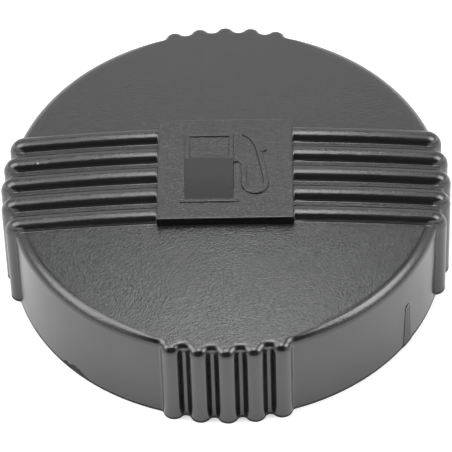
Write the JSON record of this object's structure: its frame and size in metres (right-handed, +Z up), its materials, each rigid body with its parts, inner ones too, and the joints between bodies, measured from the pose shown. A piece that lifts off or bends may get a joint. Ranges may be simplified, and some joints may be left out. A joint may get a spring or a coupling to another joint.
{
  "type": "fuel filler cap",
  "caption": "Low round screw-on fuel tank cap: domed grained top with ribs and a square plate, fluted skirt, neck thread, gasket and vent valve under it.",
  "frame": {"origin": "centre of the bottom rim, on the cap's axis", "axes": "+Z up along the cap's axis, out of the top; the ribs over the top run along X"},
  "size_m": [0.101, 0.101, 0.0276],
  "materials": {
    "shell_plastic": "satin, finely grained on top",
    "carrier_plastic": "satin",
    "baffle_plastic": "satin",
    "gasket_rubber": "matte",
    "seal_rubber": "matte",
    "screw_steel": "zinc plated",
    "spring_steel": "drawn wire",
    "valve_plastic": "natural acetal, satin",
    "filter_felt": "felt"
  },
  "bodies": {
    "cap_body": {"cap_shell": "shell_plastic", "neck_gasket": "gasket_rubber", "valve_carrier": "carrier_plastic", "carrier_screws": "screw_steel", "vent_filter": "filter_felt", "seat_plate": "valve_plastic", "pressure_spring": "spring_steel", "splash_baffle": "baffle_plastic"},
    "pressure_valve": {"pressure_plate": "valve_plastic", "valve_seal": "seal_rubber", "vacuum_spring": "spring_steel"},
    "vacuum_valve": {"vacuum_poppet": "valve_plastic", "poppet_clip": "spring_steel"}
  },
  "joints": [
    {"name": "pressure_lift", "type": "slide", "parent": "cap_body", "child": "pressure_valve", "axis": [0, 0, 1], "range_m": [0, 0.0012], "stiffness_N_per_m": 500, "springref_m": -0.002, "deforming": ["pressure_spring"]},
    {"name": "vacuum_open", "type": "slide", "parent": "pressure_valve", "child": "vacuum_valve", "axis": [0, 0, -1], "range_m": [0, 0.001], "stiffness_N_per_m": 120, "springref_m": -0.002, "deforming": ["vacuum_spring"]}
  ]
}
